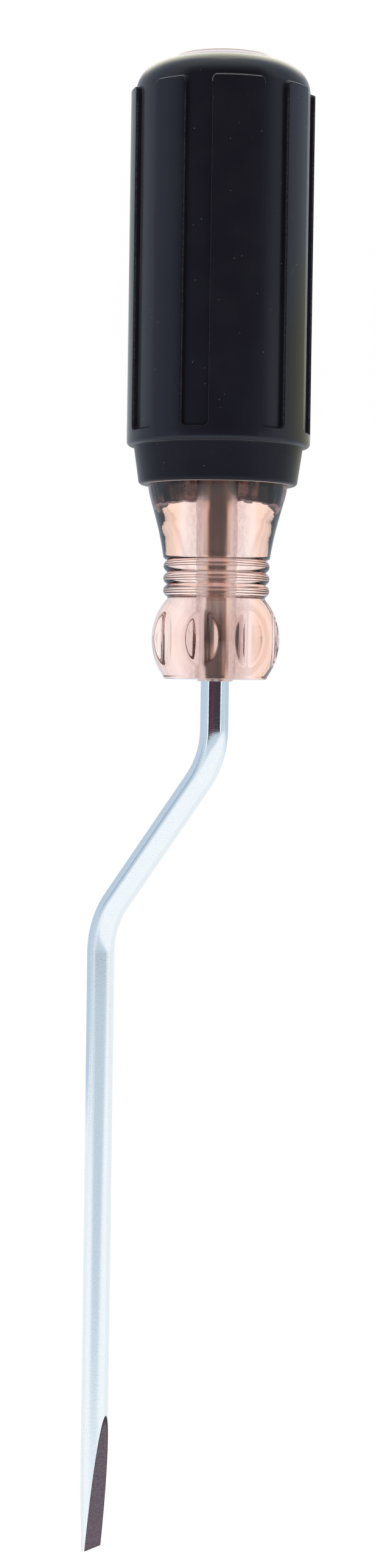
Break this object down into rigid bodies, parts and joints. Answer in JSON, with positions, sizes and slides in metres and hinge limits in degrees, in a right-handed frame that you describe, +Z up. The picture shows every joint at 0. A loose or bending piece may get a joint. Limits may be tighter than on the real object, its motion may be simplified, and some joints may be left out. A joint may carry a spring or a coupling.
{
  "type": "flathead screwdriver",
  "caption": "Offset-shank flathead screwdriver: cranked chrome bar with a ground slotted blade, clear tinted core with rings and a fluted ball, and a panelled rubber grip.",
  "frame": {"origin": "on the surface that the tool lies on, under the middle of its box", "axes": "+X along the handle axis from the butt towards the blade tip, +Z up, with the shank cranked towards -Y and down until it lies on the surface"},
  "size_m": [0.2566, 0.0368, 0.0309],
  "materials": {
    "chrome_steel": "polished chrome plate, ground steel on the blade's flats",
    "tinted_acetate": "clear gloss, copper tint",
    "black_rubber": "satin moulded rubber"
  },
  "bodies": {
    "root": {"bent_shank": "chrome_steel", "handle_core": "tinted_acetate", "cushion_grip": "black_rubber"}
  },
  "joints": []
}
